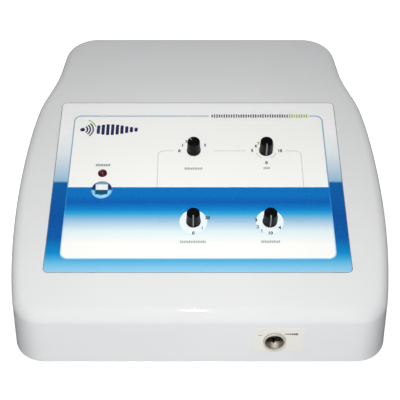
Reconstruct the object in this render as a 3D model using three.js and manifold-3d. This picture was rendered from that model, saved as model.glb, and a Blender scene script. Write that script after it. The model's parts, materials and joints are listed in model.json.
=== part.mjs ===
// Desktop ultrasound therapy unit: moulded cabinet with a sloping panel, four rotary controls,
// a rocker switch, an indicator lamp, an output socket in the front wall and a mains inlet behind.
// Millimetres. +X right, +Y to the rear, +Z up; the origin is under the middle of the feet.
import * as THREE from 'three';
import { mergeVertices } from 'three/addons/utils/BufferGeometryUtils.js';
import Module from 'manifold-3d';

const wasm = await Module();
wasm.setup();

// ---- driving dimensions -------------------------------------------------------------------
const GAP = 0.3;
const DEG = Math.PI / 180;

const DEPTH = 349;
const Y_FRONT = -DEPTH / 2;
const Y_REAR = DEPTH / 2;
const RIM_Z = 6;
const WALL = 3;
const DRAFT = Math.tan(4.6 * DEG);

// Plan of the rim, right half. A handle is the reach of a curve's control point along its end.
const FRONT_HALF = 167;
const FRONT_CORNER_R = 29;
const FRONT_LEAN = 11.8 * DEG;
const FLARE_HANDLE = 35.4;
const WIDEST_HALF = 176.8;
const WIDEST_Y = Y_FRONT + 134.3;
const WAIST_HANDLE = 30.4;
const NECK_HALF = 168.8;
const NECK_Y = Y_FRONT + 234.7;
const NECK_FRONT_HANDLE = { x: 6, y: 30 };
const NECK_REAR_HANDLE = { x: 3.6, y: 18 };
const FLANK_HALF = 152.8;
const FLANK_Y = Y_FRONT + 291.4;
const FLANK_HANDLE = { x: 2.1, y: 23 };
const FLANK_LEAN = 6.5 * DEG;
const REAR_CORNER_R = 42;

const SHOULDER_R = 11;
const CAP_CENTRE_Y = -6;

// The printed panel sits a little left of the cabinet's middle.
const TILT = 11.5 * DEG;
const PANEL_W = 270;
const PANEL_L = 194;
const PANEL_X = -2;
const PANEL_Y = -33;
const PANEL_Z = 92.75;
const DECK_START_Y = 63.9;
const DECK_R = 558;

const RECESS = 0.9;
const OVERLAY_T = 0.6;
const OVERLAY_CORNER_R = 4;

const KNOB_COLUMNS = [-4, 65.3];
const KNOB_ROWS = [36.6, -44.5];
const KNOB_BASE_R = 6.9;
const KNOB_TOP_R = 5.7;
const KNOB_Z0 = 0.4;
const KNOB_Z1 = 14.9;
const POINTER_START_R = 2.6;
const POINTER_FOOT_Z = 2.4;
const SHAFT_R = 2.2;
const BUSHING_R = 3.2;
const NUT_AF = 8;

const LAMP_X = -89.9;
const LAMP_Y = 9.5;
const LAMP_R = 2.4;
const LAMP_BARREL_R = 3.1;
const SWITCH_X = -89.4;
const SWITCH_Y = -8.9;
const BEZEL_R = 9.5;
const SWITCH_BARREL_R = 8.7;
const ROCKER_W = 11.2;
const ROCKER_HALF = 5.4;
const ROCKER_PIVOT_Z = -2.2;
const ROCKER_REST = 8 * DEG;

const SOCKET_X = 64.5;
const SOCKET_Z = 33.9;
const SOCKET_FLANGE_R = 9.9;
const SOCKET_BARREL_R = 8.9;
const SOCKET_BORE_R = 8.3;
const SOCKET_NUT_AF = 23;
const SOCKET_PINS = 4;
const SOCKET_PIN_R = 0.9;
const SOCKET_PIN_CIRCLE = 4.2;
const SOCKET_PIN_END = -17;
const LABEL = { x: 4, y: 1.5, w: 43, l: 29 };

const INLET_X = -88;
const INLET_Z = 38;
const INLET_W = 27;
const INLET_H = 37;
const INLET_DEEP = 27;

const BASE_T = 3;
const VENT = { x: 24, pitch: 10, count: 9, rows: [72, -96], half: 2, reach: 15 };
const PILLAR_R = 3.5;
const BOSS_R = 4.6;
const BOSS_BORE_R = 1.95;
const SCREW_HOLE_R = 2.3;
const SCREW_HEAD_R = 3.9;
const SCREW_SHANK_R = 1.6;
const FOOT_R = 10;
const FOOT_RECESS_R = 4.6;
const FOOT_RECESS_TOP = 3.5;
const FOOT_PLACES = {
  front_left: [-132, -142],
  front_right: [132, -142],
  rear_left: [-112, 134],
  rear_right: [112, 134],
};

const BOARD_T = 1.6;
const MAIN_BOARD = { x: 62, y: -12, w: 156, l: 128, z: 18 };
const CONTROL_BOARD = { x: 30, y: -3, w: 128, l: 112, z: -12.4 };
const CORE = { x: -88, y: 52, w: 66, l: 34, h: 55, leg: 22, window: 33 };
const HEAT_SINK = { w: 96, h: 34, fins: 9, deep: 20, web: 4, finT: 2.5 };
const RIBBON = { x0: 24, x1: 46, halfT: 0.6 };

// ---- materials ----------------------------------------------------------------------------
function material(name, color, roughness, metalness = 0) {
  return new THREE.MeshStandardMaterial({ name, color, roughness, metalness });
}
const whiteAbs = () => material('white_abs', 0xe6e8e9, 0.28);
const overlayFilm = () => material('printed_film', 0xf2f4f2, 0.35);
const blackPlastic = () => material('black_plastic', 0x121214, 0.4);
const palePaint = () => material('pointer_paint', 0xd8dadc, 0.5);
const blueHousing = () => material('blue_plastic', 0x0b4f8f, 0.22);
const creamPlastic = () => material('cream_plastic', 0xeef0ea, 0.3);
const redLens = () => material('red_lens', 0x5a0a14, 0.15);
const rubber = () => material('black_rubber', 0x1c1c1e, 0.8);
const steel = () => material('plated_steel', 0xb9bcc0, 0.32, 1);
const chrome = () => material('chrome', 0xd9dbde, 0.12, 1);
const brass = () => material('brass', 0xc2a050, 0.3, 1);
const copper = () => material('enamelled_copper', 0xa85a30, 0.4, 1);
const aluminium = () => material('aluminium', 0xa9adb1, 0.45, 1);
const lamination = () => material('lamination_steel', 0x55585c, 0.55, 1);
const greenBoard = () => material('circuit_board', 0x1f6b3c, 0.5);
const greyPlastic = () => material('grey_plastic', 0x7d8185, 0.5);
const labelFilm = () => material('label_film', 0xe9e9e0, 0.45);
const glass = () => material('fuse_glass', 0xcfd8d8, 0.1);

// ---- solids -------------------------------------------------------------------------------
function solidOf(geometry) {
  const bare = geometry.clone();
  bare.deleteAttribute('normal');
  bare.deleteAttribute('uv');
  const merged = mergeVertices(bare, 1e-4);
  return new wasm.Manifold(new wasm.Mesh({
    numProp: 3,
    vertProperties: new Float32Array(merged.attributes.position.array),
    triVerts: new Uint32Array(merged.index.array),
  }));
}

function geometryOf(solid) {
  const { vertProperties, triVerts } = solid.getMesh();
  const geometry = new THREE.BufferGeometry();
  geometry.setAttribute('position', new THREE.BufferAttribute(vertProperties, 3));
  geometry.setIndex(new THREE.BufferAttribute(triVerts, 1));
  geometry.computeVertexNormals();
  return geometry;
}

function cut(geometry, ...tools) {
  const solid = tools.reduce((left, tool) => left.subtract(solidOf(tool)), solidOf(geometry));
  return geometryOf(solid);
}

function join(geometry, ...others) {
  const solid = others.reduce((sum, other) => sum.add(solidOf(other)), solidOf(geometry));
  return geometryOf(solid);
}

// Turned solid about +Z from [radius, height] pairs, listed from the bottom of the axis to its top,
// or round a closed section with its first pair repeated last.
function turned(profile, sides) {
  const points = profile.map(([r, z]) => new THREE.Vector2(r, z));
  return new THREE.LatheGeometry(points, sides).rotateX(Math.PI / 2);
}

function ring(outer, inner, z0, z1, sides) {
  return turned([[inner, z0], [outer, z0], [outer, z1], [inner, z1], [inner, z0]], sides);
}

function rod(radius, z0, z1, sides) {
  return turned([[0, z0], [radius, z0], [radius, z1], [0, z1]], sides);
}

function block(w, l, h, x = 0, y = 0, z = 0) {
  return new THREE.BoxGeometry(w, l, h).translate(x, y, z + h / 2);
}

function plate(shape, z0, z1, curveSegments = 4) {
  const settings = { depth: z1 - z0, bevelEnabled: false, curveSegments };
  return new THREE.ExtrudeGeometry(shape, settings).translate(0, 0, z0);
}

function roundedRectangle(w, l, r, x = 0, y = 0) {
  const shape = new THREE.Shape();
  const a = w / 2 - r;
  const b = l / 2 - r;
  shape.absarc(x + a, y + b, r, 0, Math.PI / 2);
  shape.absarc(x - a, y + b, r, Math.PI / 2, Math.PI);
  shape.absarc(x - a, y - b, r, Math.PI, 1.5 * Math.PI);
  shape.absarc(x + a, y - b, r, 1.5 * Math.PI, 2 * Math.PI);
  shape.closePath();
  return shape;
}

// Round hole as an even polygon that clears a rod of the given radius.
function roundHole(radius, x, y, sides = 14) {
  const r = radius / Math.cos(Math.PI / sides);
  const points = [];
  for (let i = 0; i < sides; i += 1) {
    const angle = (i / sides) * 2 * Math.PI;
    points.push(new THREE.Vector2(x + r * Math.cos(angle), y + r * Math.sin(angle)));
  }
  return new THREE.Path(points);
}

function polygon(points) {
  return new THREE.Shape(points.map(([x, y]) => new THREE.Vector2(x, y)));
}

function hexagon(acrossFlats) {
  const r = acrossFlats / 2 / Math.cos(Math.PI / 6);
  const corner = (i) => [r * Math.cos(i * Math.PI / 3), r * Math.sin(i * Math.PI / 3)];
  return polygon([0, 1, 2, 3, 4, 5].map(corner));
}

function add(group, name, geometry, finish) {
  const mesh = new THREE.Mesh(geometry, finish);
  mesh.name = name;
  group.add(mesh);
}

// ---- frames -------------------------------------------------------------------------------
const unit = new THREE.Group();

// The panel frame lies on the sloping face: local x right, y up the slope, z out of the face.
const panelFrame = new THREE.Group();
panelFrame.position.set(PANEL_X, PANEL_Y, PANEL_Z);
panelFrame.rotation.x = TILT;
unit.add(panelFrame);

// A wall frame has local x across the wall, y up it and z out of it.
function wallOffset(z) {
  return (z - RIM_Z) * DRAFT;
}

const frontFrame = new THREE.Group();
frontFrame.position.set(SOCKET_X, Y_FRONT + wallOffset(SOCKET_Z), SOCKET_Z);
frontFrame.rotation.x = Math.PI / 2 - Math.atan(DRAFT);
unit.add(frontFrame);

const rearTurn = new THREE.Group();
rearTurn.position.set(INLET_X, Y_REAR - wallOffset(INLET_Z), INLET_Z);
rearTurn.rotation.x = -(Math.PI / 2 - Math.atan(DRAFT));
const rearFrame = new THREE.Group();
rearFrame.rotation.z = Math.PI;
rearTurn.add(rearFrame);
unit.add(rearTurn);

function placed(frame, geometry) {
  unit.updateMatrixWorld(true);
  return geometry.clone().applyMatrix4(frame.matrixWorld);
}

// ---- cabinet ------------------------------------------------------------------------------
// Height of the top face: a plane under the panel, then an arc that levels out towards the rear.
function topHeight(y) {
  if (y <= DECK_START_Y) {
    return PANEL_Z + (y - PANEL_Y) * Math.tan(TILT);
  }
  const arcY = DECK_START_Y + DECK_R * Math.sin(TILT);
  const arcZ = topHeight(DECK_START_Y) - DECK_R * Math.cos(TILT);
  return arcZ + Math.sqrt(DECK_R ** 2 - (arcY - y) ** 2);
}

// Right half of the rim's outline, front to rear, as curves with the number of steps on each.
function outlineCurves() {
  const v = (x, y) => new THREE.Vector2(x, y);
  const cornerX = FRONT_HALF - FRONT_CORNER_R;
  const cornerY = Y_FRONT + FRONT_CORNER_R;
  const flank = v(
    cornerX + FRONT_CORNER_R * Math.cos(FRONT_LEAN),
    cornerY - FRONT_CORNER_R * Math.sin(FRONT_LEAN),
  );
  const rearCornerY = Y_REAR - REAR_CORNER_R;
  const tailY = rearCornerY + REAR_CORNER_R * Math.sin(FLANK_LEAN);
  const tailX = FLANK_HALF - (tailY - FLANK_Y) * Math.tan(FLANK_LEAN);
  const rearCornerX = tailX - REAR_CORNER_R * Math.cos(FLANK_LEAN);
  const widest = v(WIDEST_HALF, WIDEST_Y);
  const neck = v(NECK_HALF, NECK_Y);
  const tail = v(FLANK_HALF, FLANK_Y);
  return [
    [new THREE.LineCurve(v(0, Y_FRONT), v(cornerX, Y_FRONT)), 3],
    [new THREE.EllipseCurve(cornerX, cornerY, FRONT_CORNER_R, FRONT_CORNER_R,
      -Math.PI / 2, -FRONT_LEAN), 5],
    [new THREE.CubicBezierCurve(flank,
      v(flank.x + FLARE_HANDLE * Math.tan(FRONT_LEAN), flank.y + FLARE_HANDLE),
      v(WIDEST_HALF, WIDEST_Y - FLARE_HANDLE), widest), 5],
    [new THREE.CubicBezierCurve(widest, v(WIDEST_HALF, WIDEST_Y + WAIST_HANDLE),
      v(NECK_HALF + NECK_FRONT_HANDLE.x, NECK_Y - NECK_FRONT_HANDLE.y), neck), 5],
    [new THREE.CubicBezierCurve(neck,
      v(NECK_HALF - NECK_REAR_HANDLE.x, NECK_Y + NECK_REAR_HANDLE.y),
      v(FLANK_HALF + FLANK_HANDLE.x, FLANK_Y - FLANK_HANDLE.y), tail), 7],
    [new THREE.LineCurve(tail, v(tailX, tailY)), 1],
    [new THREE.EllipseCurve(rearCornerX, rearCornerY, REAR_CORNER_R, REAR_CORNER_R,
      FLANK_LEAN, Math.PI / 2), 6],
    [new THREE.LineCurve(v(rearCornerX, Y_REAR), v(0, Y_REAR)), 3],
  ];
}

// Points round the whole outline, counter-clockwise from above, each with its outward normal.
function outlinePoints() {
  const half = [];
  for (const [curve, steps] of outlineCurves()) {
    for (let i = 0; i < steps; i += 1) {
      const p = curve.getPoint(i / steps);
      const t = curve.getTangent(i / steps);
      half.push({ x: p.x, y: p.y, nx: t.y, ny: -t.x });
    }
  }
  const mirrored = half.slice(1).reverse().map((p) => ({ x: -p.x, y: p.y, nx: -p.nx, ny: p.ny }));
  return [...half, { x: 0, y: Y_REAR, nx: 0, ny: 1 }, ...mirrored];
}

// Closed skin of rings: up the drafted wall from z0, over the shoulder, then inwards over the top.
function casingSkin({ inset, drop, z0, shoulder, shoulderSteps, capRings }) {
  const outline = outlinePoints();
  const moved = (p, d) => ({ x: p.x - p.nx * d, y: p.y - p.ny * d });
  const rings = [outline.map((p) => ({ ...moved(p, inset + wallOffset(z0)), z: z0 }))];
  for (let i = 0; i <= shoulderSteps; i += 1) {
    const angle = (i / shoulderSteps) * Math.PI / 2;
    rings.push(outline.map((p) => {
      const wallTop = topHeight(p.y) - drop - shoulder;
      const q = moved(p, inset + wallOffset(wallTop) + shoulder * (1 - Math.cos(angle)));
      return { ...q, z: topHeight(q.y) - drop - shoulder * (1 - Math.sin(angle)) };
    }));
  }
  const edge = rings[rings.length - 1];
  for (const t of capRings) {
    rings.push(edge.map((p) => {
      const y = CAP_CENTRE_Y + t * (p.y - CAP_CENTRE_Y);
      return { x: t * p.x, y, z: topHeight(y) - drop };
    }));
  }
  const above = [0, CAP_CENTRE_Y, topHeight(CAP_CENTRE_Y) - drop];
  return closedSkin(rings, [0, CAP_CENTRE_Y, z0], above);
}

// Closed geometry from equal rings, with a fan to one point below and to one above.
function closedSkin(rings, below, above) {
  const n = rings[0].length;
  const positions = rings.flat().flatMap((p) => [p.x, p.y, p.z]);
  positions.push(...below, ...above);
  const bottom = rings.length * n;
  const faces = [];
  for (let i = 0; i < n; i += 1) {
    const j = (i + 1) % n;
    faces.push(bottom, j, i);
    for (let r = 0; r + 1 < rings.length; r += 1) {
      const a = r * n;
      const b = a + n;
      faces.push(a + i, a + j, b + j, a + i, b + j, b + i);
    }
    const last = (rings.length - 1) * n;
    faces.push(last + i, last + j, bottom + 1);
  }
  const geometry = new THREE.BufferGeometry();
  geometry.setAttribute('position', new THREE.Float32BufferAttribute(positions, 3));
  geometry.setIndex(faces);
  return geometry;
}

function panelCutters() {
  const recess = plate(roundedRectangle(PANEL_W + 2 * GAP, PANEL_L + 2 * GAP, OVERLAY_CORNER_R),
    -RECESS, 5);
  const through = (radius, x, y, sides) => rod(radius, -12, 5, sides).translate(x, y, 0);
  const controls = KNOB_ROWS.flatMap((y) => KNOB_COLUMNS.map((x) =>
    through(BUSHING_R + GAP, x, y, 14)));
  const lamp = through(LAMP_BARREL_R + GAP, LAMP_X, LAMP_Y, 14);
  const powerSwitch = through(SWITCH_BARREL_R + GAP, SWITCH_X, SWITCH_Y, 20);
  return [recess, lamp, powerSwitch, ...controls].map((tool) => placed(panelFrame, tool));
}

function screwBosses() {
  return Object.values(FOOT_PLACES).map(([x, y]) => {
    const top = topHeight(y) - WALL / 2;
    return ring(BOSS_R, BOSS_BORE_R, RIM_Z + BASE_T + GAP, top, 14).translate(x, y, 0);
  });
}

function topShell() {
  const outer = casingSkin({
    inset: 0, drop: 0, z0: RIM_Z, shoulder: SHOULDER_R, shoulderSteps: 5,
    capRings: [0.86, 0.72, 0.55, 0.3],
  });
  const inner = casingSkin({
    inset: WALL, drop: WALL, z0: RIM_Z - 4, shoulder: SHOULDER_R - WALL, shoulderSteps: 2,
    capRings: [0.8, 0.6, 0.3],
  });
  const socketHole = placed(frontFrame, rod(SOCKET_BARREL_R + GAP, -8, 8, 20));
  const inletHole = placed(rearFrame, block(INLET_W + 2 * GAP, INLET_H + 2 * GAP, 16, 0, 0, -8));
  const hollow = cut(outer, inner);
  return cut(join(hollow, ...screwBosses()), ...panelCutters(), socketHole, inletHole);
}

function basePlate() {
  const inset = WALL + GAP + wallOffset(RIM_Z + BASE_T);
  const outline = outlinePoints().map((p) => [p.x - p.nx * inset, p.y - p.ny * inset]);
  const shape = polygon(outline);
  for (const [x, y] of Object.values(FOOT_PLACES)) {
    shape.holes.push(roundHole(SCREW_HOLE_R, x, y));
  }
  for (const y of VENT.rows) {
    for (let i = 0; i < VENT.count; i += 1) {
      shape.holes.push(slotAt(VENT.x + i * VENT.pitch, y));
    }
  }
  const pillars = boardCorners().map(([x, y]) =>
    rod(PILLAR_R, RIM_Z + BASE_T - 1, MAIN_BOARD.z - GAP, 10).translate(x, y, 0));
  return join(plate(shape, RIM_Z, RIM_Z + BASE_T, 2), ...pillars);
}

// Vent slot with pointed ends.
function slotAt(x, y) {
  const w = VENT.half;
  const l = VENT.reach;
  return polygon([[x - w, y - l], [x, y - l - w], [x + w, y - l],
    [x + w, y + l], [x, y + l + w], [x - w, y + l]]);
}

function boardCorners() {
  const { x, y, w, l } = MAIN_BOARD;
  const inset = 8;
  return [[-1, -1], [1, -1], [1, 1], [-1, 1]].map(([sx, sy]) =>
    [x + sx * (w / 2 - inset), y + sy * (l / 2 - inset)]);
}

function foot() {
  return turned([[SCREW_HOLE_R, FOOT_RECESS_TOP], [FOOT_RECESS_R, FOOT_RECESS_TOP],
    [FOOT_RECESS_R, 0], [FOOT_R - 1.5, 0], [FOOT_R, 1.2], [FOOT_R, RIM_Z - GAP],
    [SCREW_HOLE_R, RIM_Z - GAP], [SCREW_HOLE_R, FOOT_RECESS_TOP]], 18);
}

function caseScrew() {
  const headZ = 1;
  const seatZ = FOOT_RECESS_TOP - GAP;
  const tipZ = 27.5;
  return turned([[0, headZ], [SCREW_HEAD_R - 0.5, headZ], [SCREW_HEAD_R, headZ + 0.5],
    [SCREW_HEAD_R, seatZ], [SCREW_SHANK_R, seatZ], [SCREW_SHANK_R, tipZ - 1.5], [0, tipZ]], 10);
}

// ---- panel --------------------------------------------------------------------------------
function panelOverlay() {
  const shape = roundedRectangle(PANEL_W, PANEL_L, OVERLAY_CORNER_R);
  for (const y of KNOB_ROWS) {
    for (const x of KNOB_COLUMNS) {
      shape.holes.push(roundHole(BUSHING_R + GAP, x, y));
    }
  }
  shape.holes.push(roundHole(LAMP_BARREL_R + GAP, LAMP_X, LAMP_Y));
  shape.holes.push(roundHole(SWITCH_BARREL_R + GAP, SWITCH_X, SWITCH_Y, 24));
  return plate(shape, -OVERLAY_T, 0, 3);
}

// The pointer is a bar let into the knob: out along its top, then down its side.
function pointerBar(width, outset) {
  const depth = 0.9;
  const start = POINTER_START_R - outset;
  const foot = POINTER_FOOT_Z - outset;
  const top = KNOB_Z1 + outset;
  const profile = polygon([[start, top], [start, KNOB_Z1 - depth],
    [KNOB_TOP_R - depth, KNOB_Z1 - depth], [KNOB_BASE_R - depth, foot],
    [KNOB_BASE_R + outset, foot], [KNOB_TOP_R + outset, top]]);
  return plate(profile, -width / 2, width / 2).rotateX(Math.PI / 2);
}

function knob() {
  const body = turned([[0, KNOB_Z0 + 11.2], [2.5, KNOB_Z0 + 11.2], [2.5, KNOB_Z0 + 4.2],
    [5, KNOB_Z0 + 4.2], [5, KNOB_Z0], [KNOB_BASE_R, KNOB_Z0], [KNOB_BASE_R, KNOB_Z0 + 1.4],
    [KNOB_TOP_R, KNOB_Z1 - 0.6], [KNOB_TOP_R - 0.6, KNOB_Z1], [0, KNOB_Z1]], 20);
  return cut(body, pointerBar(1 + 2 * GAP, GAP));
}

function shaft() {
  return turned([[0, -6], [SHAFT_R, -6], [SHAFT_R, KNOB_Z0 + 10.6], [0, KNOB_Z0 + 10.6]], 10);
}

// Control body under the panel with its bushing up through it, and a clear bore for the spindle.
function controlBody() {
  const floor = -WALL - GAP;
  const body = block(16, 17, 8.4, 0, -1, floor - 8.4);
  const bushing = rod(BUSHING_R, floor - 1, 4.2, 14);
  return cut(join(body, bushing), rod(SHAFT_R + GAP, -6 - GAP, 6, 12));
}

function controlNut() {
  const shape = hexagon(NUT_AF);
  shape.holes.push(roundHole(BUSHING_R + GAP, 0, 0));
  return plate(shape, GAP, 2.3);
}

// Each control turns as one: knob, pointer and spindle. Its pointer rests at the given angle.
function rotaryControl(name, x, y, pointerAngle) {
  const seat = new THREE.Group();
  seat.position.set(x, y, 0);
  panelFrame.add(seat);
  const rotor = new THREE.Group();
  rotor.rotation.z = pointerAngle;
  seat.add(rotor);
  add(rotor, `${name}_knob`, knob(), blackPlastic());
  add(rotor, `${name}_pointer`, pointerBar(1, 0), palePaint());
  add(seat, `${name}_shaft`, shaft(), steel());
  add(seat, `${name}_control`, controlBody(), greyPlastic());
  add(seat, `${name}_nut`, controlNut(), steel());
}

function lampBezel() {
  const bore = LAMP_R + GAP;
  return turned([[bore, -7], [LAMP_BARREL_R, -7], [LAMP_BARREL_R, GAP], [4.2, GAP], [4.2, 0.9],
    [3.9, 1.5], [3.3, 1.7], [bore, 1.4], [bore, -7]], 16);
}

function lampLens() {
  return turned([[0, -9], [LAMP_R, -9], [LAMP_R, 1.2], [1.7, 2.6], [0, 3.2]], 14);
}

function switchHousing() {
  const body = turned([[0, -15], [SWITCH_BARREL_R, -15], [SWITCH_BARREL_R, GAP], [BEZEL_R, GAP],
    [BEZEL_R, 1.1], [BEZEL_R - 0.8, 1.9], [0, 1.9]], 24);
  return cut(body, block(ROCKER_W + 2 * GAP, 2 * ROCKER_HALF + 1.6, 12, 0, 0, -8.3));
}

// Rocker paddle: a shallow V on top, and a round underside about its pivot so that it can rock.
function switchRocker() {
  const profile = new THREE.Shape();
  profile.moveTo(-ROCKER_HALF, ROCKER_PIVOT_Z + 3.6);
  profile.absarc(0, ROCKER_PIVOT_Z, ROCKER_HALF, Math.PI, 2 * Math.PI, false);
  profile.lineTo(ROCKER_HALF, ROCKER_PIVOT_Z + 3.6);
  profile.lineTo(0, 0.6);
  profile.closePath();
  const body = plate(profile, -ROCKER_W / 2, ROCKER_W / 2, 6);
  body.rotateY(Math.PI / 2).rotateX(Math.PI / 2);
  return body.translate(0, 0, -ROCKER_PIVOT_Z).rotateX(ROCKER_REST).translate(0, 0, ROCKER_PIVOT_Z);
}

function buildPanel() {
  add(panelFrame, 'panel_overlay', panelOverlay(), overlayFilm());
  rotaryControl('mode', KNOB_COLUMNS[0], KNOB_ROWS[0], 135 * DEG);
  rotaryControl('timer', KNOB_COLUMNS[1], KNOB_ROWS[0], -90 * DEG);
  rotaryControl('pulse', KNOB_COLUMNS[0], KNOB_ROWS[1], -90 * DEG);
  rotaryControl('intensity', KNOB_COLUMNS[1], KNOB_ROWS[1], -90 * DEG);
  add(panelFrame, 'lamp_bezel', lampBezel().translate(LAMP_X, LAMP_Y, 0), blackPlastic());
  add(panelFrame, 'lamp', lampLens().translate(LAMP_X, LAMP_Y, 0), redLens());
  add(panelFrame, 'switch_housing', switchHousing().translate(SWITCH_X, SWITCH_Y, 0), blueHousing());
  add(panelFrame, 'switch_rocker', switchRocker().translate(SWITCH_X, SWITCH_Y, 0), creamPlastic());
}

// ---- front socket -------------------------------------------------------------------------
function pinPlaces() {
  const places = [];
  for (let i = 0; i < SOCKET_PINS; i += 1) {
    const angle = (i + 0.5) * 2 * Math.PI / SOCKET_PINS;
    places.push([SOCKET_PIN_CIRCLE * Math.cos(angle), SOCKET_PIN_CIRCLE * Math.sin(angle)]);
  }
  return places;
}

function socketShell() {
  return turned([[SOCKET_BORE_R, -15], [SOCKET_BARREL_R, -15], [SOCKET_BARREL_R, 0.7],
    [SOCKET_FLANGE_R, 0.7], [SOCKET_FLANGE_R, 1.4], [SOCKET_FLANGE_R - 0.4, 2.1],
    [SOCKET_BORE_R, 2.1], [SOCKET_BORE_R, -15]], 24);
}

function socketInsert() {
  const body = rod(SOCKET_BORE_R - GAP, -13, -8, 20);
  return cut(body, ...pinPlaces().map(([x, y]) =>
    rod(SOCKET_PIN_R + GAP, -14, -7, 8).translate(x, y, 0)));
}

function socketPin() {
  return turned([[0, SOCKET_PIN_END], [SOCKET_PIN_R, SOCKET_PIN_END], [SOCKET_PIN_R, -4.6],
    [0.4, -4], [0, -4]], 8);
}

function socketNut() {
  const shape = hexagon(SOCKET_NUT_AF);
  shape.holes.push(roundHole(SOCKET_BARREL_R + GAP, 0, 0, 24));
  return plate(shape, -WALL - GAP - 3, -WALL - GAP);
}

function socketLabel() {
  const shape = roundedRectangle(LABEL.w, LABEL.l, 1.5, LABEL.x, LABEL.y);
  shape.holes.push(roundHole(SOCKET_BARREL_R + GAP, 0, 0, 24));
  return plate(shape, 0.15, 0.4, 2);
}

function buildSocket() {
  add(frontFrame, 'socket_shell', socketShell(), chrome());
  add(frontFrame, 'socket_insert', socketInsert(), blackPlastic());
  pinPlaces().forEach(([x, y], i) => {
    add(frontFrame, `socket_pin_${i + 1}`, socketPin().translate(x, y, 0), brass());
  });
  add(frontFrame, 'socket_nut', socketNut(), steel());
  add(frontFrame, 'socket_label', socketLabel(), labelFilm());
}

// ---- mains inlet --------------------------------------------------------------------------
const PLUG_Y = 6.5;
const PLUG_W = 22.5;
const PLUG_H = 15.5;
const DRAWER_Y = -11;
const DRAWER_W = 21;
const DRAWER_H = 11;
const DRAWER_DEEP = 23;

// Outline of the plug recess: a rectangle with its two upper corners cut off.
function plugOutline(grow) {
  const w = PLUG_W / 2 + grow;
  const h = PLUG_H / 2 + grow;
  const c = 4.5;
  return polygon([[-w, -h], [w, -h], [w, h - c], [w - c, h], [-w + c, h], [-w, h - c]]);
}

function inletHousing() {
  const flange = plate(roundedRectangle(INLET_W + 5, INLET_H + 5, 2), GAP, 2.6);
  const body = block(INLET_W, INLET_H, INLET_DEEP, 0, 0, 0.5 - INLET_DEEP);
  const plugRecess = plate(plugOutline(0), -17, 5).translate(0, PLUG_Y, 0);
  const drawerSlot = block(DRAWER_W + 2 * GAP, DRAWER_H + 2 * GAP, 40, 0, DRAWER_Y,
    1.4 - DRAWER_DEEP - GAP);
  const pinHoles = inletPins().map(([, x, y]) => block(2 + 2 * GAP, 4 + 2 * GAP, 14, x, y, -29));
  return cut(join(body, flange), plugRecess, drawerSlot, ...pinHoles);
}

function inletPins() {
  return [['line', 7, PLUG_Y - 2], ['neutral', -7, PLUG_Y - 2], ['earth', 0, PLUG_Y + 2]];
}

function fuseDrawer() {
  const tray = block(DRAWER_W, DRAWER_H, DRAWER_DEEP, 0, DRAWER_Y, 1.4 - DRAWER_DEEP);
  const grip = plate(roundedRectangle(DRAWER_W - 2, DRAWER_H - 1, 1), 1, 4).translate(0, DRAWER_Y, 0);
  const channel = (x) => block(6, DRAWER_H - 1.5, 20.6, x, DRAWER_Y + 1.5, -20.6);
  return cut(join(tray, grip), channel(-5), channel(5));
}

function buildInlet() {
  add(rearFrame, 'inlet_housing', inletHousing(), blackPlastic());
  for (const [name, x, y] of inletPins()) {
    add(rearFrame, `inlet_pin_${name}`, block(2, 4, 27, x, y, -31), brass());
  }
  add(rearFrame, 'fuse_drawer', fuseDrawer(), blackPlastic());
  [-5, 5].forEach((x, i) => {
    const fuse = rod(2.55, -20, -0.4, 10).translate(x, DRAWER_Y + 1.2, 0);
    add(rearFrame, `fuse_${i + 1}`, fuse, glass());
  });
}

// ---- inside -------------------------------------------------------------------------------
function transformerCore() {
  const { w, l, h, leg, window } = CORE;
  const windowW = (w - 2 * leg) / 2;
  const shape = roundedRectangle(w, h, 0.5);
  const holes = [-1, 1].map((side) => {
    const x = side * (leg + windowW) / 2;
    return roundedRectangle(windowW, window, 0.4, x, 0);
  });
  shape.holes.push(...holes);
  return plate(shape, -l / 2, l / 2, 1).rotateX(Math.PI / 2);
}

function transformerWinding() {
  const { w, l, leg, window } = CORE;
  const outerW = w - leg - 2 * GAP;
  const shape = roundedRectangle(outerW, l + 21, 5);
  shape.holes.push(roundedRectangle(leg + 2 * GAP, l + 2 * GAP, 1));
  return plate(shape, GAP - window / 2, window / 2 - GAP, 3);
}

function heatSink() {
  const { w, h, fins, deep, web, finT } = HEAT_SINK;
  const pitch = w / fins;
  const points = [[-w / 2, 0], [w / 2, 0]];
  for (let i = fins - 1; i >= 0; i -= 1) {
    const x = -w / 2 + i * pitch;
    const fin = x + pitch - finT;
    points.push([x + pitch, deep], [fin, deep], [fin, web], [x, web]);
  }
  return plate(polygon(points), 0, h);
}

// Flat cable in a vertical plane: a band of even thickness along a smooth curve.
function ribbonCable() {
  const stops = [[-74, 68.6], [-77.5, 56], [-69.5, 42], [-59, 31], [-58, 20.2]];
  const route = new THREE.CatmullRomCurve3(stops.map(([y, z]) => new THREE.Vector3(y, z, 0)));
  const half = RIBBON.halfT;
  const steps = 14;
  const sides = [-1, 1].map((side) => {
    const line = [];
    for (let i = 0; i <= steps; i += 1) {
      const p = route.getPoint(i / steps);
      const t = route.getTangent(i / steps);
      line.push([p.x - side * t.y * half, p.y + side * t.x * half]);
    }
    return line;
  });
  const band = polygon([...sides[0], ...sides[1].reverse()]);
  const turn = new THREE.Matrix4().makeBasis(
    new THREE.Vector3(0, 1, 0),
    new THREE.Vector3(0, 0, 1),
    new THREE.Vector3(1, 0, 0),
  );
  return plate(band, RIBBON.x0, RIBBON.x1).applyMatrix4(turn);
}

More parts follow.
